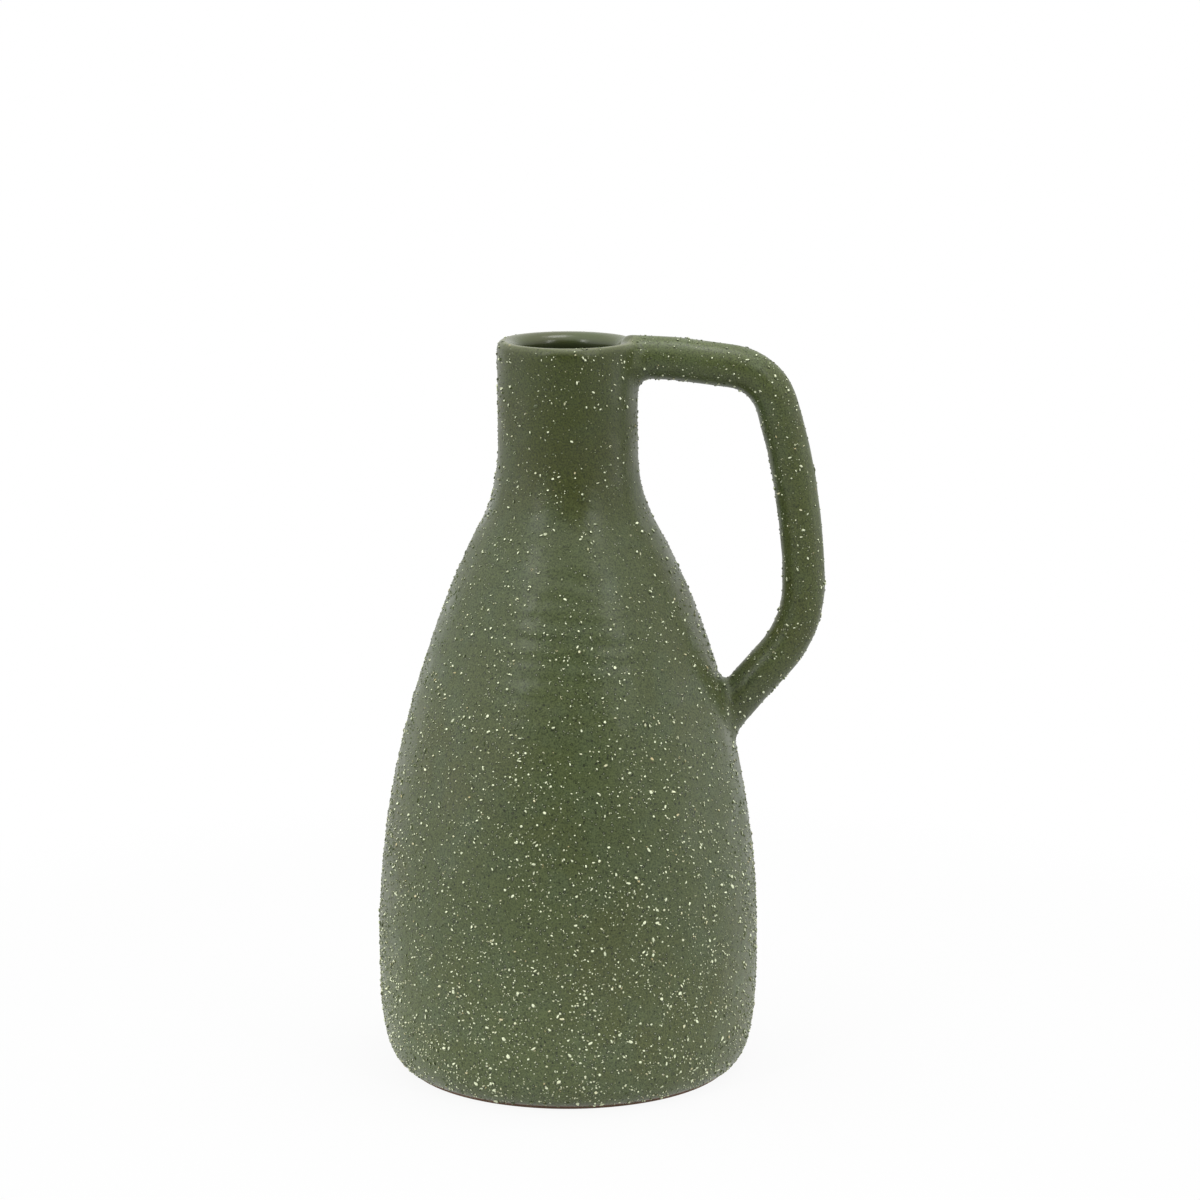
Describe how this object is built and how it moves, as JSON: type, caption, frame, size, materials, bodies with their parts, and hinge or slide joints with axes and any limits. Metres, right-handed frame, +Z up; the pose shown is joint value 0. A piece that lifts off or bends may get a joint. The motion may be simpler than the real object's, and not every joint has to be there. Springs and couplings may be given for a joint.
{
  "type": "ceramic vase",
  "caption": "Stoneware vase with a rounded belly, a straight narrow neck and a looped rod handle from rim to belly, for cut stems, also usable as a water jug.",
  "frame": {"origin": "centre of the foot, on the vase's axis, where it stands", "axes": "+Z up the vase's axis, +X from the axis towards the handle, +Y across the handle"},
  "size_m": [0.1512, 0.1292, 0.2512],
  "materials": {
    "bare_clay": "fired stoneware left bare, matt reddish brown, finely gritty",
    "joining_slip": "fired joining slip, smoothed with a wet sponge, matt",
    "lining_glaze": "smooth dark green glaze, shiny, no sand",
    "outer_glaze": "satin moss green glaze with cream sand grains in it, thickest on the lower belly"
  },
  "bodies": {
    "root": {"body": "bare_clay", "handle": "bare_clay", "upper_joint": "joining_slip", "lower_joint": "joining_slip", "inner_glaze": "lining_glaze", "body_glaze": "outer_glaze", "handle_glaze": "outer_glaze"}
  },
  "joints": []
}
